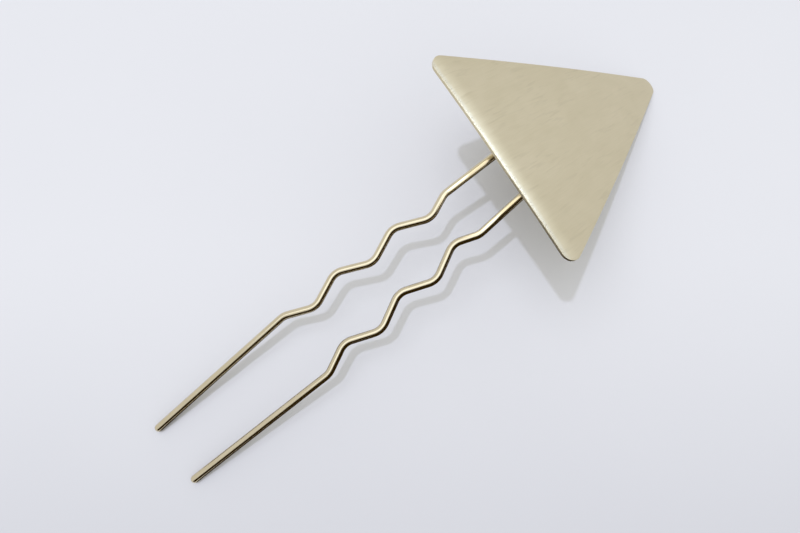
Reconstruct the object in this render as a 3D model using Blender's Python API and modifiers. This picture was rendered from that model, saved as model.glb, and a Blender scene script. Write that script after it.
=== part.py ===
"""A decorative hairpin: one bent wire with a brushed triangular plate, in metres, +Z up.

The pin is drawn flat first: +X runs from its tips to the plate, +Y across its two legs and
+Z out of their plane. Its crown is then folded down flat against the plate's back, where the
plate and the solder sit. A root empty lays the whole thing down as it rests on a table, on
its two tips and the plate's far corner.
"""

import math

import bmesh
import bpy
from mathutils import Euler, Matrix, Vector

MM = 0.001

# Clearance between pieces that touch on the real object
SEAT_GAP = 0.3 * MM

# Wire: one length, bent double, spreads are between the centre lines of the two legs
WIRE_DIAMETER = 1.4 * MM
TIP_SPREAD = 11.0 * MM
TIP_LENGTH = 30.1 * MM
WAVE_TIP_END_SPREAD = 11.4 * MM
WAVE_PLATE_END_SPREAD = 8.5 * MM
WAVE_DEPTH = 2.9 * MM
WAVE_LEAD_IN = 5.4 * MM
WAVE_STEP = 6.43 * MM
WAVE_LEAD_OUT = 4.55 * MM
WAVE_BENDS = 5
WAVE_BEND_RADIUS = 3.2 * MM
LEAD_IN_SHARE = 0.58
LEAD_OUT_SHARE = 0.37
KNEE_DISTANCE = 89.3 * MM
KNEE_BEND_RADIUS = 2.5 * MM
CROWN_LENGTH = 11.0 * MM
CROWN_SPREAD = 6.75 * MM
TIP_ROUNDING_SHARES = (0.1, 0.4, 1.0)
BEND_STEPS = 5
WIRE_RESOLUTION = 4

# Plate: an isosceles triangle, its base edge across the legs and its apex far from the tips
PLATE_BASE = 40.3 * MM
PLATE_HEIGHT = 59.8 * MM
PLATE_THICKNESS = 0.5 * MM
BASE_CORNER_RADIUS = 2.05 * MM
APEX_RADIUS = 2.0 * MM
SIDE_BOW = 0.28 * MM
PLATE_EDGE_RADIUS = 0.2 * MM
PLATE_FLAT_WIDTH = 10.0 * MM
PLATE_ARCH_DROP = 0.3 * MM
BASE_MARGIN_WIDTH = 3.2 * MM
BASE_MARGIN_DROP = 0.4 * MM
KNEE_INSET = 21.0 * MM
MERGE_DISTANCE = 0.002 * MM
PLATE_PITCH = math.radians(37.6)
PLATE_TURN = math.radians(6.4)
PLATE_ROLL = math.radians(5.6)
CORNER_STEPS = 6
SIDE_STEPS = 18
PLATE_COLUMNS = 14
EDGE_STEPS = 2

# Solder: one saddle over each leg of the crown
SOLDER_LENGTH = 5.6 * MM
SOLDER_WIDTH = 4.4 * MM
SOLDER_DEPTH = 2.7 * MM
SOLDER_SEGMENTS = 24
SOLDER_RINGS = 12
CHANNEL_SIDES = 24
CUT_OVERRUN = 2.0 * MM

# Rest on a table
STEEPEST_PITCH = math.radians(45)
PITCH_STEPS = 50

UP = Vector((0, 0, 1))
WIRE_RADIUS = WIRE_DIAMETER / 2
KNEE = Vector((KNEE_DISTANCE, 0, 0))
PLATE_UNDERSIDE = WIRE_RADIUS + SEAT_GAP
SEAT_ROTATION = Euler((PLATE_ROLL, PLATE_PITCH, -PLATE_TURN), "YZX")


def clear_scene():
    for obj in list(bpy.data.objects):
        bpy.data.objects.remove(obj, do_unlink=True)


def new_collection(name):
    collection = bpy.data.collections.new(name)
    bpy.context.scene.collection.children.link(collection)
    return collection


def material(name, color, roughness, metallic):
    made = bpy.data.materials.new(name)
    made.use_nodes = True
    shader = made.node_tree.nodes["Principled BSDF"]
    shader.inputs["Base Color"].default_value = (*color, 1)
    shader.inputs["Roughness"].default_value = roughness
    shader.inputs["Metallic"].default_value = metallic
    made.diffuse_color = (*color, 1)
    return made


def new_object(name, data, collection, parent=None):
    obj = bpy.data.objects.new(name, data)
    collection.objects.link(obj)
    obj.parent = parent
    return obj


def mesh_object(name, bm, collection, parent):
    mesh = bpy.data.meshes.new(name)
    bm.to_mesh(mesh)
    bm.free()
    return new_object(name, mesh, collection, parent)


def knee_point(y):
    """Where a leg at that y meets the plane of the crown, which passes through KNEE."""
    normal = SEAT_ROTATION.to_matrix() @ UP
    return Vector((KNEE_DISTANCE - normal.y * y / normal.x, y, 0))


def fold(point):
    """A point of the flat pin past the knee, folded into the plane of the crown."""
    normal = SEAT_ROTATION.to_matrix() @ UP
    return KNEE + UP.rotation_difference(normal) @ (point - KNEE)


def wave_offsets():
    """The bends of one leg's wave: distance from the tips, and share of half the depth."""
    x = TIP_LENGTH
    bends = [(x, LEAD_IN_SHARE)]
    x += WAVE_LEAD_IN
    for number in range(WAVE_BENDS):
        inward = number % 2 == 0
        bends.append((x, -1 if inward else 1))
        x += WAVE_STEP
    x += WAVE_LEAD_OUT - WAVE_STEP
    bends.append((x, LEAD_OUT_SHARE))
    return bends


def leg_corners():
    """One leg's corners with their bend radii, from its tip to the crown, at +Y."""
    bends = wave_offsets()
    start = bends[0][0]
    run = bends[-1][0] - start
    corners = [(Vector((0, TIP_SPREAD / 2, 0)), 0)]
    for x, share in bends:
        along = (x - start) / run
        middle = WAVE_TIP_END_SPREAD + (WAVE_PLATE_END_SPREAD - WAVE_TIP_END_SPREAD) * along
        y = middle / 2 + share * WAVE_DEPTH / 2
        corners.append((Vector((x, y, 0)), WAVE_BEND_RADIUS))
    return corners


def crown_corners(side, last_bend):
    """The knee and crown corners of the leg on that side, which runs straight from its wave."""
    flat_end = Vector((KNEE_DISTANCE + CROWN_LENGTH, CROWN_SPREAD / 2, 0))
    slope = (flat_end.y - last_bend.y) / (flat_end.x - last_bend.x)
    knee_y = last_bend.y + slope * (KNEE_DISTANCE - last_bend.x)
    flat_end.y *= side
    return [
        (knee_point(side * knee_y), KNEE_BEND_RADIUS),
        (fold(flat_end), CROWN_SPREAD / 2),
    ]


def pin_corners():
    """All corners of the pin in order, from the tip at -Y round the crown to the tip at +Y."""
    leg = leg_corners()
    near = [(Vector((p.x, -p.y, p.z)), radius) for p, radius in leg]
    near += crown_corners(-1, leg[-1][0])
    far = leg + crown_corners(1, leg[-1][0])
    return near + far[::-1]


def bend(before, corner, after, radius):
    """Points along the arc that rounds a corner."""
    incoming = (corner - before).normalized()
    outgoing = (after - corner).normalized()
    turn = incoming.angle(outgoing)
    centre = corner + (outgoing - incoming).normalized() * radius / math.cos(turn / 2)
    first = corner - incoming * radius * math.tan(turn / 2) - centre
    axis = incoming.cross(outgoing)
    steps = max(2, round(BEND_STEPS * turn / math.radians(60)))
    return [
        centre + Matrix.Rotation(turn * step / steps, 3, axis) @ first
        for step in range(steps + 1)
    ]


def rounded_tip(tip, inward):
    """Points and radii that round the wire's end off to a dome, from the end inward."""
    rows = []
    for share in TIP_ROUNDING_SHARES:
        radius = WIRE_RADIUS * math.sqrt(1 - (1 - share) ** 2)
        rows.append((tip + inward * WIRE_RADIUS * share, radius))
    return rows


def pin_path():
    """The centre line of the wire, each point with the wire's radius there."""
    corners = pin_corners()
    points = [corner for corner, radius in corners]
    path = rounded_tip(points[0], (points[1] - points[0]).normalized())
    for number in range(1, len(corners) - 1):
        arc = bend(points[number - 1], points[number], points[number + 1], corners[number][1])
        path += [(point, WIRE_RADIUS) for point in arc]
    path += rounded_tip(points[-1], (points[-2] - points[-1]).normalized())[::-1]
    return path


def make_pin(collection, root):
    curve = bpy.data.curves.new("wire_pin", "CURVE")
    curve.dimensions = "3D"
    curve.bevel_depth = WIRE_RADIUS
    curve.bevel_resolution = WIRE_RESOLUTION
    curve.use_fill_caps = True
    path = pin_path()
    spline = curve.splines.new("POLY")
    spline.points.add(len(path) - 1)
    for point, (place, radius) in zip(spline.points, path):
        point.co = (*place, 1)
        point.radius = radius / WIRE_RADIUS
    curve.materials.append(material("polished_brass", (0.72, 0.55, 0.30), 0.18, 1.0))
    return new_object("wire_pin", curve, collection, root)


def plate_rows():
    """The rounded outline as rows: distance from the base edge, and half the width there."""
    lean = math.atan2(PLATE_BASE / 2, PLATE_HEIGHT)
    outward = Vector((math.sin(lean), math.cos(lean)))
    corner_angle = math.pi / 2 - lean
    corner = Vector((BASE_CORNER_RADIUS, PLATE_BASE / 2))
    corner.y -= BASE_CORNER_RADIUS / math.tan(corner_angle / 2)
    apex = Vector((PLATE_HEIGHT - APEX_RADIUS / math.sin(lean), 0))
    rows = []
    for step in range(CORNER_STEPS + 1):
        angle = -math.pi / 2 + (math.pi / 2 + lean) * step / CORNER_STEPS
        rows.append(corner + BASE_CORNER_RADIUS * Vector((math.sin(angle), math.cos(angle))))
    start = rows[-1]
    end = apex + APEX_RADIUS * outward
    for step in range(1, SIDE_STEPS):
        share = step / SIDE_STEPS
        bow = SIDE_BOW * 4 * share * (1 - share)
        rows.append(start.lerp(end, share) + outward * bow)
    for step in range(CORNER_STEPS + 1):
        angle = lean + (math.pi / 2 - lean) * step / CORNER_STEPS
        rows.append(apex + APEX_RADIUS * Vector((math.sin(angle), math.cos(angle))))
    return rows


def plate_lift(x, y):
    """How far the plate's face drops at a place, for its arch and its rolled base margin."""
    flat = PLATE_FLAT_WIDTH / 2
    outward = max(0, abs(y) - flat) / (PLATE_BASE / 2 - flat)
    edgeward = max(0, 1 - x / BASE_MARGIN_WIDTH)
    return -PLATE_ARCH_DROP * outward**2 - BASE_MARGIN_DROP * edgeward**2


def make_plate(collection, seat):
    """The plate's front face from a grid, thickened downwards, in the frame of its seat."""
    rows = plate_rows()
    top = PLATE_UNDERSIDE + PLATE_THICKNESS
    bm = bmesh.new()
    bmesh.ops.create_grid(bm, x_segments=len(rows) - 1, y_segments=PLATE_COLUMNS, size=1)
    for vert in bm.verts:
        x, half_width = rows[round((vert.co.x + 1) / 2 * (len(rows) - 1))]
        y = vert.co.y * half_width
        vert.co = (x - KNEE_INSET, y, top + plate_lift(x, y))
    bmesh.ops.remove_doubles(bm, verts=bm.verts, dist=MERGE_DISTANCE)
    for face in bm.faces:
        face.smooth = True
    plate = mesh_object("plate", bm, collection, seat)
    shell = plate.modifiers.new("sheet", "SOLIDIFY")
    shell.thickness = PLATE_THICKNESS
    shell.offset = -1
    edge = plate.modifiers.new("edge", "BEVEL")
    edge.width = PLATE_EDGE_RADIUS
    edge.segments = EDGE_STEPS
    edge.limit_method = "ANGLE"
    edge.angle_limit = math.radians(40)
    plate.data.materials.append(material("brushed_brass", (0.58, 0.51, 0.36), 0.38, 1.0))
    return plate


def cut(obj, cutter):
    cutter.hide_render = True
    cutter.display_type = "WIRE"
    difference = obj.modifiers.new("cut_" + cutter.name, "BOOLEAN")
    difference.operation = "DIFFERENCE"
    difference.object = cutter


def make_solder(name, side, collection, cutters, root):
    """A saddle of solder over one leg of the crown, clear of the wire and of the plate."""
    normal = SEAT_ROTATION.to_matrix() @ UP
    (knee, _), (corner, _) = crown_corners(side, leg_corners()[-1][0])
    along = (corner - knee).normalized()
    straight = (corner - knee).length - CROWN_SPREAD / 2
    across = normal.cross(along)
    place = Matrix((along, across, normal)).transposed().to_4x4()
    place.translation = knee + along * straight / 2

    bm = bmesh.new()
    bmesh.ops.create_uvsphere(
        bm, u_segments=SOLDER_SEGMENTS, v_segments=SOLDER_RINGS, radius=1
    )
    size = Vector((SOLDER_LENGTH / 2, SOLDER_WIDTH / 2, SOLDER_DEPTH))
    bmesh.ops.scale(bm, verts=bm.verts, vec=size)
    bmesh.ops.translate(bm, verts=bm.verts, vec=UP * PLATE_UNDERSIDE)
    for face in bm.faces:
        face.smooth = True
    bead = mesh_object(name, bm, collection, root)
    bead.matrix_local = place

    bm = bmesh.new()
    bmesh.ops.create_cone(
        bm,
        cap_ends=True,
        segments=CHANNEL_SIDES,
        radius1=WIRE_RADIUS + SEAT_GAP,
        radius2=WIRE_RADIUS + SEAT_GAP,
        depth=SOLDER_LENGTH + CUT_OVERRUN,
        matrix=Matrix.Rotation(math.pi / 2, 4, "Y"),
    )
    channel = mesh_object(name + "_channel", bm, cutters, root)
    channel.matrix_local = place
    cut(bead, channel)

    bm = bmesh.new()
    bmesh.ops.create_cube(bm, size=1)
    block = Vector((SOLDER_LENGTH, SOLDER_WIDTH, SOLDER_DEPTH)) + Vector((CUT_OVERRUN,) * 3)
    bmesh.ops.scale(bm, verts=bm.verts, vec=block)
    lowest = PLATE_UNDERSIDE - SEAT_GAP
    bmesh.ops.translate(bm, verts=bm.verts, vec=UP * (lowest + block.z / 2))
    seat_face = mesh_object(name + "_seat_face", bm, cutters, root)
    seat_face.matrix_local = place
    cut(bead, seat_face)

    bead.data.materials.append(material(name, (0.70, 0.58, 0.38), 0.32, 1.0))
    return bead


def shape_points(obj):
    """The corners of an object's finished shape, in the world."""
    finished = obj.evaluated_get(bpy.context.evaluated_depsgraph_get())
    mesh = finished.to_mesh()
    points = [obj.matrix_world @ vert.co for vert in mesh.vertices]
    finished.to_mesh_clear()
    return points


def rest_pitch(tips, plate):
    """The angle at which the tips and the plate's far corner reach equally low."""

    def lowest(points, pitch):
        return min(p.x * math.sin(pitch) + p.z * math.cos(pitch) for p in points)

    low, high = 0, STEEPEST_PITCH
    for _ in range(PITCH_STEPS):
        pitch = (low + high) / 2
        if lowest(plate, pitch) < lowest(tips, pitch):
            low = pitch
        else:
            high = pitch
    return pitch


def lay_down(root, pin, plate, solder):
    """Turns and moves the root so that the pin rests on z = 0, centred over the origin."""
    bpy.context.view_layer.update()
    tips = [point for point in shape_points(pin) if point.x < TIP_LENGTH]
    root.rotation_euler.y = -rest_pitch(tips, shape_points(plate))
    bpy.context.view_layer.update()
    points = [point for obj in (pin, plate, *solder) for point in shape_points(obj)]
    low = Vector(min(point[axis] for point in points) for axis in range(3))
    high = Vector(max(point[axis] for point in points) for axis in range(3))
    middle = (low + high) / 2
    root.location = (-middle.x, -middle.y, -low.z)
    bpy.context.view_layer.update()


def main():
    clear_scene()
    collection = new_collection("hairpin")
    cutters = new_collection("cutters")
    root = new_object("rest", None, collection)
    seat = new_object("plate_seat", None, collection, root)
    seat.location = KNEE
    seat.rotation_mode = SEAT_ROTATION.order
    seat.rotation_euler = SEAT_ROTATION
    pin = make_pin(collection, root)
    plate = make_plate(collection, seat)
    solder = [
        make_solder("solder_left", 1, collection, cutters, root),
        make_solder("solder_right", -1, collection, cutters, root),
    ]
    lay_down(root, pin, plate, solder)


main()
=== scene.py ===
import math

import bmesh
import bpy
from mathutils import Euler, Matrix, Vector, noise


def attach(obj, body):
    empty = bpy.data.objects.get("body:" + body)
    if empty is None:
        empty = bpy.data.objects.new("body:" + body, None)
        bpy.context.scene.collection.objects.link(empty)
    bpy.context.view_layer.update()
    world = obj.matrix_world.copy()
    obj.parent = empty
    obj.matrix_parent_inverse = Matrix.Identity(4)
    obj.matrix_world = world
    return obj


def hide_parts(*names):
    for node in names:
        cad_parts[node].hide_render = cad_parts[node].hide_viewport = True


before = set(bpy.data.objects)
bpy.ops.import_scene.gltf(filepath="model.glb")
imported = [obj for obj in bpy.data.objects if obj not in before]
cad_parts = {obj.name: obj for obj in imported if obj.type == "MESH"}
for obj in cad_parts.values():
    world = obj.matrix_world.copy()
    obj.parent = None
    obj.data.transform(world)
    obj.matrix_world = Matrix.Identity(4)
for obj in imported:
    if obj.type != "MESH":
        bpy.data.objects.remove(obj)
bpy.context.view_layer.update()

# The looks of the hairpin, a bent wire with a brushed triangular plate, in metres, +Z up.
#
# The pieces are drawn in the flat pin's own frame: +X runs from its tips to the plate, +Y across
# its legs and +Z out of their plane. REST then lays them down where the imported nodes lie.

MM = 0.001
UP = Vector((0, 0, 1))

# Wire, as in the CAD part
WIRE_RADIUS = 0.7 * MM
TIP_SPREAD = 11.0 * MM
TIP_LENGTH = 30.1 * MM
WAVE_TIP_END_SPREAD = 11.4 * MM
WAVE_PLATE_END_SPREAD = 8.5 * MM
WAVE_DEPTH = 2.9 * MM
WAVE_LEAD_IN = 5.4 * MM
WAVE_STEP = 6.43 * MM
WAVE_LEAD_OUT = 4.55 * MM
WAVE_BENDS = 5
WAVE_BEND_RADIUS = 3.2 * MM
LEAD_IN_SHARE = 0.58
LEAD_OUT_SHARE = 0.37
KNEE_DISTANCE = 89.3 * MM
KNEE_BEND_RADIUS = 2.5 * MM
CROWN_LENGTH = 11.0 * MM
CROWN_SPREAD = 6.75 * MM
KNEE = Vector((KNEE_DISTANCE, 0, 0))

# Plate, as in the CAD part
SEAT_GAP = 0.3 * MM
PLATE_BASE = 40.3 * MM
PLATE_HEIGHT = 59.8 * MM
PLATE_THICKNESS = 0.5 * MM
BASE_CORNER_RADIUS = 2.05 * MM
APEX_RADIUS = 2.0 * MM
SIDE_BOW = 0.28 * MM
PLATE_EDGE_RADIUS = 0.2 * MM
PLATE_FLAT_WIDTH = 10.0 * MM
PLATE_ARCH_DROP = 0.3 * MM
BASE_MARGIN_WIDTH = 3.2 * MM
BASE_MARGIN_DROP = 0.4 * MM
KNEE_INSET = 21.0 * MM
MERGE_DISTANCE = 0.002 * MM
SHARP_ANGLE = math.radians(40)
PLATE_PITCH = math.radians(37.6)
PLATE_TURN = math.radians(6.4)
PLATE_ROLL = math.radians(5.6)
PLATE_UNDERSIDE = WIRE_RADIUS + SEAT_GAP
SEAT_ROTATION = Euler((PLATE_ROLL, PLATE_PITCH, -PLATE_TURN), "YZX")

# Solder: length and width as in the CAD part, with a depth and a flare of its own
SOLDER_LENGTH = 5.6 * MM
SOLDER_WIDTH = 4.4 * MM
BEAD_DEPTH = 2.5 * MM
BEAD_FLARE = 1.25
BEAD_RIPPLE = 0.09 * MM
BEAD_RIPPLE_SIZE = 1.1 * MM

# How the pin lies on the table, as in the CAD part
REST_PITCH = 0.168604
REST_PLACE = Vector((-59.5631, -0.3929, 0.5727)) * MM
REST = Matrix.Translation(REST_PLACE) @ Matrix.Rotation(-REST_PITCH, 4, "Y")
SEAT = REST @ Matrix.Translation(KNEE) @ SEAT_ROTATION.to_matrix().to_4x4()

# These keep the rounder meshes inside the box of the CAD's facets
TIP_TRIM = 0.06 * MM
PLATE_TRIM = 0.9995

# Fineness of the meshes
WIRE_SIDES = 28
WIRE_STEP = 0.5 * MM
BEND_STEP = math.radians(5)
TIP_ROWS = 9
DOME_REACH = 1.3 * WIRE_RADIUS
CORNER_STEPS = 14
SIDE_STEPS = 64
EDGE_STEPS = 4
PLATE_COLUMNS = 56
BEAD_RINGS = 16
BEAD_SEGMENTS = 48

# Noise, whose scales below are in cycles a metre, along and across its strokes
NOISE_ROUGHNESS = 0.6
NOISE_MIDDLE = (0.3, 0.7)

# Brushed plate
BRUSH_TURN = Matrix.Rotation(math.radians(-2), 2)
BRUSH_PLAIN = ((0.60, 0.54, 0.39), 0.38)
BRUSH_COLORS = ((0.645, 0.57, 0.385), (0.71, 0.63, 0.445))
BRUSH_COLOR_SPAN = (0.35, 0.65)
BRUSH_ROUGHNESS = (0.33, 0.47)
BRUSH_FINE_STROKES = (260, 9000)
BRUSH_COARSE_STROKES = (120, 2600)
BRUSH_CLOUDS = (90, 140)
FINE_SHARE = 0.6
STROKE_SHARE = 0.65
SCRATCH_STROKES = (170, 1500)
SCRATCH_SPAN = (0.56, 0.70)
SCRATCH_PATCHES = (70, 110)
SCRATCH_PATCH_SPAN = (0.42, 0.60)
SCRATCH_TINT = 0.12
SCRATCH_COLOR = (0.36, 0.31, 0.2)
SCRATCH_RELIEF = 0.8
STROKE_HEIGHT = 0.012 * MM
STROKE_BUMP = 0.5

# Polished rim of the plate's base margin, with a painted highlight in a lighter colour, between
# these distances from the base edge
RIM_START = (0.12 * MM, 0.25 * MM)
RIM_END = (0.3 * MM, 0.9 * MM)
RIM_HIGHLIGHT_COLOR = (0.76, 0.71, 0.56)
RIM_POLISH = 0.12

# Polished wire
WIRE_PLAIN = ((0.71, 0.62, 0.43), 0.15)
WIRE_COLORS = ((0.68, 0.59, 0.40), (0.74, 0.65, 0.46))
WIRE_ROUGHNESS = (0.10, 0.18)
DRAWING_LINES = (60, 5200)
DRAWING_CLOUDS = (180, 420)
DRAWING_SHARE = 0.5
DRAWING_HEIGHT = 0.004 * MM
DRAWING_BUMP = 0.3

# Plated solder
SOLDER_PLAIN = ((0.80, 0.68, 0.45), 0.34)
SOLDER_COLORS = ((0.73, 0.60, 0.38), (0.84, 0.73, 0.51))
SOLDER_ROUGHNESS = (0.26, 0.44)
SOLDER_GRAIN = 1400
SOLDER_HEIGHT = 0.03 * MM
SOLDER_BUMP = 0.6

# Camera, solved from the photograph's perspective, for a frame of 800 by 533 pixels
FRAME_WIDTH = 800
FOCAL_PIXELS = 577.5
SENSOR_WIDTH = 36
CAMERA_PLACE = Vector((-27.295, -17.583, 107.726)) * MM
CAMERA_RIGHT = Vector((0.77153, -0.63523, 0.03478))
CAMERA_DOWN = Vector((-0.60950, -0.75375, -0.24566))
CAMERA_FORWARD = Vector((0.18227, 0.16834, -0.96873))

# World: a plain pale studio to see and to mirror, and a warmer, dimmer one that lights the table
WORLD_COLOR = (0.96, 0.97, 1.0)
WORLD_STRENGTH = 0.82
WORLD_FILL_COLOR = (1.0, 0.985, 0.88)
WORLD_FILL = 0.74

# A small key lamp and a broad fill above the table, which the metal does not mirror
KEY_DIRECTION = (-0.167, 0.232, 1)
KEY_DISTANCE = 3.0
KEY_SIZE = 0.1
KEY_POWER = 21.0
KEY_COLOR = (0.80, 0.84, 1.0)
FILL_DIRECTION = (-0.2, 0.28, 1)
FILL_DISTANCE = 3.0
FILL_SIZE = 2.4
FILL_POWER = 29.6
FILL_COLOR = (0.963, 0.973, 1.0)

# Lamps that only the metal mirrors: one overhead, one to the side, one under the plate's lip
SOFT_DIRECTION = (0.05, 0.15, 1)
SOFT_DISTANCE = 2.0
SOFT_SIZE = 2.0
SOFT_POWER = 8.4
SOFT_COLOR = (0.82, 0.9, 1.0)
SIDE_DIRECTION = (0.62, -0.03, 0.78)
SIDE_DISTANCE = 0.3
SIDE_SIZE = 0.07
SIDE_POWER = 0.155
SIDE_COLOR = (0.66, 0.78, 1.0)
LIP_PLACE = Vector((10.5, 1.2, 19.0)) * MM
LIP_SIZE = (9.4 * MM, 13.0 * MM)
LIP_POWER = 0.00044

# Matt things: cards and the table
MATT_ROUGHNESS = 0.8

# Dark cards for the metal to mirror: one standing towards -Y, and a mat on the floor by each leg
CARD_COLOR = (0.035, 0.021, 0.004)
CARD_DISTANCE = -0.10
CARD_ENDS = (-0.32, 0.08)
CARD_HEIGHT = 0.19
MAT_HEIGHT = 0.1 * MM
MAT_WIDTHS = {1: 7.0 * MM, -1: 95.0 * MM}

# Table, with painted shade that darkens it towards the foot of the picture, over these distances
# from the origin
FLOOR_REACH = 4.0
FLOOR_PLAIN = (0.695, 0.695, 0.725)
FLOOR_COLORS = ((0.675, 0.685, 0.75), (0.685, 0.695, 0.76))
FLOOR_MOTTLE = 18
FLOOR_SLOPE = Vector((-0.63, -0.776, 0))
FLOOR_FADE = (-5 * MM, 85 * MM)
FLOOR_PAINTED_SHADE = 0.2
FLOOR_PAINTED_SHADE_COLOR = (0.0, 0.0, 0.06)


def new_object(name, data):
    obj = bpy.data.objects.new(name, data)
    bpy.context.scene.collection.objects.link(obj)
    return obj


def mesh_object(name, bm, place):
    for face in bm.faces:
        face.smooth = True
    mesh = bpy.data.meshes.new(name)
    bm.to_mesh(mesh)
    bm.free()
    mesh.transform(place)
    return new_object(name, mesh)


def apply_modifiers(obj):
    """Bakes an object's modifiers into its mesh."""
    finished = obj.evaluated_get(bpy.context.evaluated_depsgraph_get())
    mesh = bpy.data.meshes.new_from_object(finished)
    obj.modifiers.clear()
    obj.data = mesh


# Nodes, where the owner is a material or a world


def add_node(owner, kind, **values):
    node = owner.node_tree.nodes.new(kind)
    for name, value in values.items():
        setattr(node, name, value)
    return node


def feed(owner, value, socket):
    """Gives a socket a number or a colour, or links it to another node's output."""
    if isinstance(value, float):
        socket.default_value = value
    elif isinstance(value, tuple):
        socket.default_value = (*value, 1)
    else:
        owner.node_tree.links.new(value, socket)


def combine(owner, operation, first, second):
    node = add_node(owner, "ShaderNodeMath", operation=operation)
    feed(owner, first, node.inputs[0])
    feed(owner, second, node.inputs[1])
    return node.outputs["Value"]


def weigh(owner, first, second, share):
    """A share of the first value, and the rest of the second."""
    scaled = combine(owner, "MULTIPLY", first, share)
    return combine(owner, "ADD", scaled, combine(owner, "MULTIPLY", second, 1 - share))


def remap(owner, value, low, high, span=NOISE_MIDDLE):
    """The value's span becomes low to high."""
    node = add_node(owner, "ShaderNodeMapRange")
    node.inputs["From Min"].default_value = span[0]
    node.inputs["From Max"].default_value = span[1]
    node.inputs["To Min"].default_value = low
    node.inputs["To Max"].default_value = high
    feed(owner, value, node.inputs["Value"])
    return node.outputs["Result"]


def blend_colors(owner, factor, first, second):
    node = add_node(owner, "ShaderNodeMix", data_type="RGBA")
    feed(owner, factor, node.inputs[0])
    feed(owner, first, node.inputs[6])
    feed(owner, second, node.inputs[7])
    return node.outputs[2]


def streaks(owner, uv_map, scale, detail=3.0, distortion=0.0):
    """Noise stretched along the surface's own u and v."""
    place = add_node(owner, "ShaderNodeUVMap", uv_map=uv_map)
    stretch = add_node(owner, "ShaderNodeMapping")
    stretch.inputs["Scale"].default_value = (*scale, 1)
    texture = add_node(owner, "ShaderNodeTexNoise", noise_dimensions="2D")
    texture.inputs["Scale"].default_value = 1.0
    texture.inputs["Detail"].default_value = detail
    texture.inputs["Roughness"].default_value = NOISE_ROUGHNESS
    texture.inputs["Distortion"].default_value = distortion
    feed(owner, place.outputs["UV"], stretch.inputs["Vector"])
    feed(owner, stretch.outputs["Vector"], texture.inputs["Vector"])
    return texture.outputs["Fac"]


def grain(owner, place, scale, detail):
    """Noise that is even in all directions."""
    texture = add_node(owner, "ShaderNodeTexNoise")
    texture.inputs["Scale"].default_value = scale
    texture.inputs["Detail"].default_value = detail
    feed(owner, place.outputs["Object"], texture.inputs["Vector"])
    return texture.outputs["Fac"]


def add_bump(owner, shader, height, distance, strength):
    bump = add_node(owner, "ShaderNodeBump")
    bump.inputs["Distance"].default_value = distance
    bump.inputs["Strength"].default_value = strength
    feed(owner, height, bump.inputs["Height"])
    feed(owner, bump.outputs["Normal"], shader.inputs["Normal"])


# Materials


def new_material(name, color, roughness, metallic):
    material = bpy.data.materials.new(name)
    material.use_nodes = True
    shader = material.node_tree.nodes["Principled BSDF"]
    shader.inputs["Base Color"].default_value = (*color, 1)
    shader.inputs["Roughness"].default_value = roughness
    shader.inputs["Metallic"].default_value = metallic
    return material, shader


def metal_material(name, plain):
    """A metal, whose plain colour and roughness are for viewers that do not read its nodes."""
    return new_material(name, *plain, 1.0)


def matt_material(name, color):
    material, shader = new_material(name, color, MATT_ROUGHNESS, 0.0)
    shader.inputs["Specular IOR Level"].default_value = 0
    return material, shader


def polished_rim_and_highlight_mask(material):
    """1 on the polished rim of the plate's base margin, which also carries a painted highlight, 0
    elsewhere.
    """
    place = add_node(material, "ShaderNodeUVMap", uv_map="margin")
    split = add_node(material, "ShaderNodeSeparateXYZ")
    feed(material, place.outputs["UV"], split.inputs["Vector"])
    distance = split.outputs["X"]
    rise = remap(material, distance, 0.0, 1.0, RIM_START)
    return combine(material, "MULTIPLY", rise, remap(material, distance, 1.0, 0.0, RIM_END))


def brushed_material():
    """Champagne plating over fine brush strokes that run along the plate's axis, with a polished
    base rim that carries a painted highlight.
    """
    material, shader = metal_material("brushed_champagne", BRUSH_PLAIN)
    fine = streaks(material, "brush", BRUSH_FINE_STROKES, detail=4.0)
    coarse = streaks(material, "brush", BRUSH_COARSE_STROKES, detail=2.0)
    cloud = streaks(material, "brush", BRUSH_CLOUDS, detail=2.0, distortion=0.4)
    strokes = weigh(material, fine, coarse, FINE_SHARE)
    tone = weigh(material, strokes, cloud, STROKE_SHARE)
    color = blend_colors(material, remap(material, tone, 0.0, 1.0, BRUSH_COLOR_SPAN), *BRUSH_COLORS)
    lines = streaks(material, "brush", SCRATCH_STROKES, detail=1.5, distortion=0.3)
    patches = streaks(material, "brush", SCRATCH_PATCHES, detail=1.0)
    scratches = combine(
        material,
        "MULTIPLY",
        remap(material, lines, 0.0, 1.0, SCRATCH_SPAN),
        remap(material, patches, 0.0, 1.0, SCRATCH_PATCH_SPAN),
    )
    worn = combine(material, "MULTIPLY", scratches, SCRATCH_TINT)
    color = blend_colors(material, worn, color, SCRATCH_COLOR)
    rim = polished_rim_and_highlight_mask(material)
    # Painted highlight: the rim takes a lighter, whiter colour; below, its roughness is lowered for
    # real polish
    color = blend_colors(material, rim, color, RIM_HIGHLIGHT_COLOR)
    feed(material, color, shader.inputs["Base Color"])
    polish = combine(material, "MULTIPLY", rim, RIM_POLISH)
    rough = combine(material, "SUBTRACT", remap(material, strokes, *BRUSH_ROUGHNESS), polish)
    feed(material, rough, shader.inputs["Roughness"])
    grooves = combine(material, "MULTIPLY", scratches, SCRATCH_RELIEF)
    relief = combine(material, "SUBTRACT", strokes, grooves)
    add_bump(material, shader, relief, STROKE_HEIGHT, STROKE_BUMP)
    return material


def polished_material():
    """Warm gold plating over a drawn wire, with faint lines along it."""
    material, shader = metal_material("polished_gold", WIRE_PLAIN)
    drawn = streaks(material, "drawing", DRAWING_LINES)
    cloud = streaks(material, "drawing", DRAWING_CLOUDS, distortion=0.5)
    color = blend_colors(material, remap(material, cloud, 0.0, 1.0), *WIRE_COLORS)
    feed(material, color, shader.inputs["Base Color"])
    wear = weigh(material, drawn, cloud, DRAWING_SHARE)
    feed(material, remap(material, wear, *WIRE_ROUGHNESS), shader.inputs["Roughness"])
    add_bump(material, shader, drawn, DRAWING_HEIGHT, DRAWING_BUMP)
    return material


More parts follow.
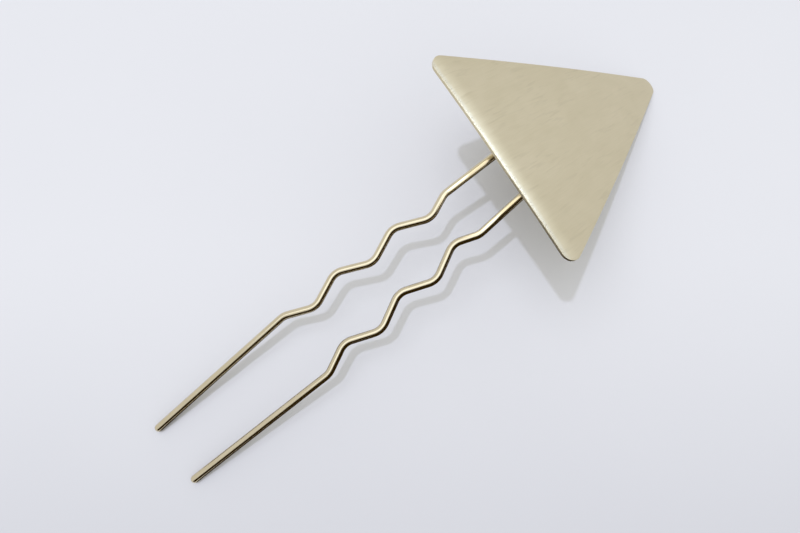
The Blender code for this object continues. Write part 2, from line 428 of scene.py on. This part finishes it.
def solder_material():
    """Plating over solder: the wire's colour, duller and rippled."""
    material, shader = metal_material("plated_solder", SOLDER_PLAIN)
    place = add_node(material, "ShaderNodeTexCoord")
    value = grain(material, place, SOLDER_GRAIN, detail=4)
    color = blend_colors(material, remap(material, value, 0.0, 1.0), *SOLDER_COLORS)
    feed(material, color, shader.inputs["Base Color"])
    feed(material, remap(material, value, *SOLDER_ROUGHNESS), shader.inputs["Roughness"])
    add_bump(material, shader, value, SOLDER_HEIGHT, SOLDER_BUMP)
    return material


def floor_material():
    """Pale matt paint, with a faint unevenness, and painted shade that darkens it towards the foot
    of the picture.
    """
    material, shader = matt_material("pale_paint", FLOOR_PLAIN)
    place = add_node(material, "ShaderNodeTexCoord")
    mottle = grain(material, place, FLOOR_MOTTLE, detail=3)
    color = blend_colors(material, remap(material, mottle, 0.0, 1.0), *FLOOR_COLORS)
    # Painted shade: the colour darkens, and turns a little bluer, towards the foot of the picture
    along = add_node(material, "ShaderNodeVectorMath", operation="DOT_PRODUCT")
    feed(material, place.outputs["Object"], along.inputs[0])
    along.inputs[1].default_value = FLOOR_SLOPE
    painted_shade = remap(material, along.outputs["Value"], 0.0, FLOOR_PAINTED_SHADE, FLOOR_FADE)
    painted_shade.node.interpolation_type = "SMOOTHSTEP"
    color = blend_colors(material, painted_shade, color, FLOOR_PAINTED_SHADE_COLOR)
    feed(material, color, shader.inputs["Base Color"])
    return material


# Wire


def knee_point(y):
    """Where a leg at that y meets the plane of the crown, which passes through KNEE."""
    normal = SEAT_ROTATION.to_matrix() @ UP
    return Vector((KNEE_DISTANCE - normal.y * y / normal.x, y, 0))


def fold(point):
    """A point of the flat pin past the knee, folded into the plane of the crown."""
    normal = SEAT_ROTATION.to_matrix() @ UP
    return KNEE + UP.rotation_difference(normal) @ (point - KNEE)


def leg_corners():
    """One leg's corners with their bend radii, from its tip to its last wave bend, at +Y."""
    bends = [(TIP_LENGTH, LEAD_IN_SHARE)]
    x = TIP_LENGTH + WAVE_LEAD_IN
    for number in range(WAVE_BENDS):
        bends.append((x, -1 if number % 2 == 0 else 1))
        x += WAVE_STEP
    bends.append((x + WAVE_LEAD_OUT - WAVE_STEP, LEAD_OUT_SHARE))
    run = bends[-1][0] - TIP_LENGTH
    corners = [(Vector((0, TIP_SPREAD / 2, 0)), 0)]
    for x, share in bends:
        along = (x - TIP_LENGTH) / run
        middle = WAVE_TIP_END_SPREAD + (WAVE_PLATE_END_SPREAD - WAVE_TIP_END_SPREAD) * along
        corner = Vector((x, middle / 2 + share * WAVE_DEPTH / 2, 0))
        corners.append((corner, WAVE_BEND_RADIUS))
    return corners


def crown_corners(side):
    """The knee and crown corners of the leg on that side, which runs straight from its wave."""
    last_bend = leg_corners()[-1][0]
    flat_end = Vector((KNEE_DISTANCE + CROWN_LENGTH, CROWN_SPREAD / 2, 0))
    slope = (flat_end.y - last_bend.y) / (flat_end.x - last_bend.x)
    knee_y = last_bend.y + slope * (KNEE_DISTANCE - last_bend.x)
    flat_end.y *= side
    return [(knee_point(side * knee_y), KNEE_BEND_RADIUS), (fold(flat_end), CROWN_SPREAD / 2)]


def bend(before, corner, after, radius):
    """Points along the arc that rounds a corner."""
    incoming = (corner - before).normalized()
    outgoing = (after - corner).normalized()
    turn = incoming.angle(outgoing)
    centre = corner + (outgoing - incoming).normalized() * radius / math.cos(turn / 2)
    first = corner - incoming * radius * math.tan(turn / 2) - centre
    axis = incoming.cross(outgoing)
    steps = max(2, round(turn / BEND_STEP))
    return [
        centre + Matrix.Rotation(turn * step / steps, 3, axis) @ first
        for step in range(steps + 1)
    ]


def wire_centre_line():
    """Evenly fine points from the tip at -Y round the crown to the tip at +Y."""
    leg = leg_corners()
    near = [(Vector((p.x, -p.y, p.z)), radius) for p, radius in leg] + crown_corners(-1)
    far = leg + crown_corners(1)
    corners = near + far[::-1]
    points = [corners[0][0] + Vector((TIP_TRIM, 0, 0))]
    for number in range(1, len(corners) - 1):
        before, after = corners[number - 1][0], corners[number + 1][0]
        points += bend(before, corners[number][0], after, corners[number][1])
    points.append(corners[-1][0] + Vector((TIP_TRIM, 0, 0)))
    line = [points[0]]
    for point in points[1:]:
        start = line[-1]
        steps = int((point - start).length / WIRE_STEP)
        line += [start.lerp(point, step / steps) for step in range(1, steps)]
        line.append(point)
    return line


def tip_radius(distance):
    """The wire's radius at a distance from its end, which is filed to a dome."""
    share = min(1, distance / WIRE_RADIUS)
    return WIRE_RADIUS * math.sqrt(max(0, 1 - (1 - share) ** 2))


def with_domes(line):
    """The centre line with each tip's first stretch split into the dome's rows."""
    shares = [1 - math.cos(math.pi / 2 * row / TIP_ROWS) for row in range(1, TIP_ROWS + 1)]
    domes = []
    for end, inner in ((line[0], line[1]), (line[-1], line[-2])):
        inward = (inner - end).normalized()
        domes.append([end + inward * WIRE_RADIUS * share for share in shares])
    middle = [
        point for point in line
        if min((point - line[0]).length, (point - line[-1]).length) > DOME_REACH
    ]
    return domes[0] + middle + domes[1][::-1]


def make_wire():
    """A tube of rings along the centre line. Its u runs along the wire and its v round it."""
    line = wire_centre_line()
    ends = line[0], line[-1]
    path = with_domes(line)
    bm = bmesh.new()
    uv = bm.loops.layers.uv.new("drawing")
    rings = []
    travelled = []
    distance = 0
    side = UP
    for number, point in enumerate(path):
        before = path[max(0, number - 1)]
        after = path[min(len(path) - 1, number + 1)]
        along = (after - before).normalized()
        side = (side - along * side.dot(along)).normalized()
        across = along.cross(side)
        radius = min(tip_radius((point - end).length) for end in ends)
        ring = []
        for step in range(WIRE_SIDES):
            angle = 2 * math.pi * step / WIRE_SIDES
            outward = side * math.cos(angle) + across * math.sin(angle)
            ring.append(bm.verts.new(point + outward * radius))
        distance += (point - before).length
        rings.append(ring)
        travelled.append(distance)
    rim = WIRE_RADIUS * 2 * math.pi / WIRE_SIDES
    for row, (first, second) in enumerate(zip(rings, rings[1:])):
        for step in range(WIRE_SIDES):
            following = (step + 1) % WIRE_SIDES
            face = bm.faces.new((first[step], first[following], second[following], second[step]))
            places = [(row, step), (row, step + 1), (row + 1, step + 1), (row + 1, step)]
            for loop, (place, column) in zip(face.loops, places):
                loop[uv].uv = (travelled[place], column * rim)
    for ring, end, flip in ((rings[0], ends[0], True), (rings[-1], ends[1], False)):
        pole = bm.verts.new(end)
        for step in range(WIRE_SIDES):
            corners = [ring[step], ring[(step + 1) % WIRE_SIDES], pole]
            bm.faces.new(corners[::-1] if flip else corners)
    bmesh.ops.recalc_face_normals(bm, faces=bm.faces)
    wire = mesh_object("wire", bm, REST)
    wire.data.materials.append(polished_material())
    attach(wire, "root")
    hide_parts("wire_pin")


# Plate


def plate_rows():
    """The rounded outline as rows: distance from the base edge, and half the width there."""
    lean = math.atan2(PLATE_BASE / 2, PLATE_HEIGHT)
    outward = Vector((math.sin(lean), math.cos(lean)))
    corner_angle = math.pi / 2 - lean
    corner = Vector((BASE_CORNER_RADIUS, PLATE_BASE / 2))
    corner.y -= BASE_CORNER_RADIUS / math.tan(corner_angle / 2)
    apex = Vector((PLATE_HEIGHT - APEX_RADIUS / math.sin(lean), 0))
    rows = []
    for step in range(CORNER_STEPS + 1):
        angle = -math.pi / 2 + (math.pi / 2 + lean) * step / CORNER_STEPS
        rows.append(corner + BASE_CORNER_RADIUS * Vector((math.sin(angle), math.cos(angle))))
    start = rows[-1]
    end = apex + APEX_RADIUS * outward
    for step in range(1, SIDE_STEPS):
        share = step / SIDE_STEPS
        bow = SIDE_BOW * 4 * share * (1 - share)
        rows.append(start.lerp(end, share) + outward * bow)
    for step in range(CORNER_STEPS + 1):
        angle = lean + (math.pi / 2 - lean) * step / CORNER_STEPS
        rows.append(apex + APEX_RADIUS * Vector((math.sin(angle), math.cos(angle))))
    return rows


def plate_lift(x, y):
    """The face's height at a place: it drops for its arch and for its rolled base margin."""
    flat = PLATE_FLAT_WIDTH / 2
    outward = max(0, abs(y) - flat) / (PLATE_BASE / 2 - flat)
    edgeward = max(0, 1 - x / BASE_MARGIN_WIDTH)
    return -PLATE_ARCH_DROP * outward**2 - BASE_MARGIN_DROP * edgeward**2


def make_plate():
    """The plate's face from a fine grid, thickened downwards, with its edges rounded."""
    rows = plate_rows()
    top = PLATE_UNDERSIDE + PLATE_THICKNESS
    bm = bmesh.new()
    bmesh.ops.create_grid(bm, x_segments=len(rows) - 1, y_segments=PLATE_COLUMNS, size=1)
    for vert in bm.verts:
        x, half_width = rows[round((vert.co.x + 1) / 2 * (len(rows) - 1))]
        y = vert.co.y * half_width
        vert.co = ((x - KNEE_INSET) * PLATE_TRIM, y * PLATE_TRIM, top + plate_lift(x, y))
    bmesh.ops.remove_doubles(bm, verts=bm.verts, dist=MERGE_DISTANCE)
    brush = bm.loops.layers.uv.new("brush")
    margin = bm.loops.layers.uv.new("margin")
    for face in bm.faces:
        for loop in face.loops:
            loop[brush].uv = BRUSH_TURN @ loop.vert.co.xy
            loop[margin].uv = (loop.vert.co.x + KNEE_INSET, loop.vert.co.y)
    plate = mesh_object("brushed_face", bm, SEAT)
    shell = plate.modifiers.new("sheet", "SOLIDIFY")
    shell.thickness = PLATE_THICKNESS
    shell.offset = -1
    edge = plate.modifiers.new("edge", "BEVEL")
    edge.width = PLATE_EDGE_RADIUS
    edge.segments = EDGE_STEPS
    edge.limit_method = "ANGLE"
    edge.angle_limit = SHARP_ANGLE
    apply_modifiers(plate)
    plate.data.materials.clear()
    plate.data.materials.append(brushed_material())
    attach(plate, "root")
    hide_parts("plate")


# Solder


def solder_place(side):
    """Where that side's bead sits on the crown: along, across and towards the plate."""
    normal = SEAT_ROTATION.to_matrix() @ UP
    knee, corner = (point for point, _ in crown_corners(side))
    along = (corner - knee).normalized()
    straight = (corner - knee).length - CROWN_SPREAD / 2
    place = Matrix((along, normal.cross(along), normal)).transposed().to_4x4()
    place.translation = knee + along * straight / 2
    return REST @ place


def make_bead(name, side, material):
    """Solder that ran round the wire and out over the plate's back, rippled as it cooled."""
    bm = bmesh.new()
    rings = []
    for number in range(1, BEAD_RINGS + 1):
        share = number / BEAD_RINGS
        fullness = (1 - share**2) ** BEAD_FLARE
        ring = []
        for step in range(BEAD_SEGMENTS):
            angle = 2 * math.pi * step / BEAD_SEGMENTS
            x = SOLDER_LENGTH / 2 * share * math.cos(angle)
            y = SOLDER_WIDTH / 2 * share * math.sin(angle)
            # Each side takes another layer of the noise, so that the two beads differ
            ripple = noise.noise(Vector((x, y, side * SOLDER_LENGTH)) / BEAD_RIPPLE_SIZE)
            z = PLATE_UNDERSIDE - (BEAD_DEPTH + BEAD_RIPPLE * ripple) * fullness
            ring.append(bm.verts.new((x, y, z)))
        rings.append(ring)
    lowest = bm.verts.new((0, 0, PLATE_UNDERSIDE - BEAD_DEPTH))
    seat = bm.verts.new((0, 0, PLATE_UNDERSIDE))
    for step in range(BEAD_SEGMENTS):
        following = (step + 1) % BEAD_SEGMENTS
        bm.faces.new((lowest, rings[0][step], rings[0][following]))
        bm.faces.new((seat, rings[-1][following], rings[-1][step]))
        for inner, outer in zip(rings, rings[1:]):
            bm.faces.new((inner[step], outer[step], outer[following], inner[following]))
    bmesh.ops.recalc_face_normals(bm, faces=bm.faces)
    bead = mesh_object(name + "_bead", bm, solder_place(side))
    bead.data.materials.append(material)
    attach(bead, "root")
    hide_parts(name)


# Stage


def make_floor():
    """A plain pale table."""
    bm = bmesh.new()
    bmesh.ops.create_grid(bm, x_segments=1, y_segments=1, size=FLOOR_REACH)
    floor = mesh_object("table_top", bm, Matrix.Identity(4))
    floor.data.materials.append(floor_material())


def make_lamp(name, direction, distance, size, power, color):
    """A round lamp that faces the origin from a direction and a distance."""
    light = bpy.data.lights.new(name, "AREA")
    light.shape = "DISK"
    light.size = size
    light.energy = power
    light.color = color
    lamp = new_object(name, light)
    lamp.location = Vector(direction).normalized() * distance
    lamp.rotation_euler = Vector(direction).to_track_quat("Z", "Y").to_euler()
    return lamp


def make_lip_lamp():
    """A small unseen lamp under the plate's lip, facing down, for the wires to mirror."""
    light = bpy.data.lights.new("lip", "AREA")
    light.shape = "RECTANGLE"
    light.size, light.size_y = LIP_SIZE
    light.energy = LIP_POWER
    lamp = new_object("lip", light)
    lamp.location = LIP_PLACE
    lamp.visible_camera = False
    lamp.visible_diffuse = False


def make_lamps():
    key = make_lamp("key", KEY_DIRECTION, KEY_DISTANCE, KEY_SIZE, KEY_POWER, KEY_COLOR)
    key.visible_glossy = False
    fill = make_lamp("fill", FILL_DIRECTION, FILL_DISTANCE, FILL_SIZE, FILL_POWER, FILL_COLOR)
    fill.visible_glossy = False
    soft = make_lamp("soft", SOFT_DIRECTION, SOFT_DISTANCE, SOFT_SIZE, SOFT_POWER, SOFT_COLOR)
    soft.visible_diffuse = False
    side = make_lamp("side", SIDE_DIRECTION, SIDE_DISTANCE, SIDE_SIZE, SIDE_POWER, SIDE_COLOR)
    side.visible_diffuse = False
    make_lip_lamp()


def make_card(name, rows):
    """A dark card, one face between each two rows, which only the metal sees."""
    bm = bmesh.new()
    verts = [[bm.verts.new(corner) for corner in row] for row in rows]
    for (first, second), (fourth, third) in zip(verts, verts[1:]):
        bm.faces.new((first, second, third, fourth))
    card = mesh_object(name, bm, Matrix.Identity(4))
    material, _ = matt_material(name, CARD_COLOR)
    card.data.materials.append(material)
    card.visible_camera = False
    card.visible_diffuse = False
    card.visible_shadow = False


def make_mat(name, side):
    """A dark mat on the floor, from behind one leg, as the camera sees it, towards -Y."""
    corners = [Vector((p.x, side * p.y, p.z)) for p, _ in leg_corners()]
    corners.append(crown_corners(side)[0][0])
    rows = []
    for corner in corners:
        place = REST @ corner
        place += CAMERA_FORWARD * (place.z - MAT_HEIGHT) / -CAMERA_FORWARD.z
        rows.append((place, place - Vector((0, MAT_WIDTHS[side], 0))))
    make_card(name, rows)


def make_cards():
    make_card("standing", [[(x, CARD_DISTANCE, z) for x in CARD_ENDS] for z in (0, CARD_HEIGHT)])
    make_mat("mat_left", 1)
    make_mat("mat_right", -1)


def make_world():
    """A plain pale studio, dimmer where it only fills the shadows."""
    world = bpy.data.worlds.new("studio")
    bpy.context.scene.world = world
    world.use_nodes = True
    plain = world.node_tree.nodes["Background"]
    plain.inputs["Color"].default_value = (*WORLD_COLOR, 1)
    plain.inputs["Strength"].default_value = WORLD_STRENGTH
    fill = add_node(world, "ShaderNodeBackground")
    fill.inputs["Color"].default_value = (*WORLD_FILL_COLOR, 1)
    fill.inputs["Strength"].default_value = WORLD_FILL
    ray = add_node(world, "ShaderNodeLightPath").outputs
    seen = combine(world, "MAXIMUM", ray["Is Camera Ray"], ray["Is Glossy Ray"])
    seen = combine(world, "MAXIMUM", seen, ray["Is Transmission Ray"])
    mix = add_node(world, "ShaderNodeMixShader")
    feed(world, seen, mix.inputs["Fac"])
    feed(world, fill.outputs["Background"], mix.inputs[1])
    feed(world, plain.outputs["Background"], mix.inputs[2])
    feed(world, mix.outputs["Shader"], world.node_tree.nodes["World Output"].inputs["Surface"])


def make_camera():
    camera = bpy.data.cameras.new("camera")
    camera.sensor_width = SENSOR_WIDTH
    camera.lens = FOCAL_PIXELS * SENSOR_WIDTH / FRAME_WIDTH
    camera.clip_start = MM
    seen_from = new_object("camera", camera)
    turn = Matrix((CAMERA_RIGHT, -CAMERA_DOWN, -CAMERA_FORWARD)).transposed()
    seen_from.matrix_world = Matrix.Translation(CAMERA_PLACE) @ turn.to_4x4()
    bpy.context.scene.camera = seen_from


make_wire()
make_plate()
solder = solder_material()
make_bead("solder_left", 1, solder)
make_bead("solder_right", -1, solder)
make_floor()
make_world()
make_lamps()
make_cards()
make_camera()
bpy.context.scene.view_settings.view_transform = "Standard"
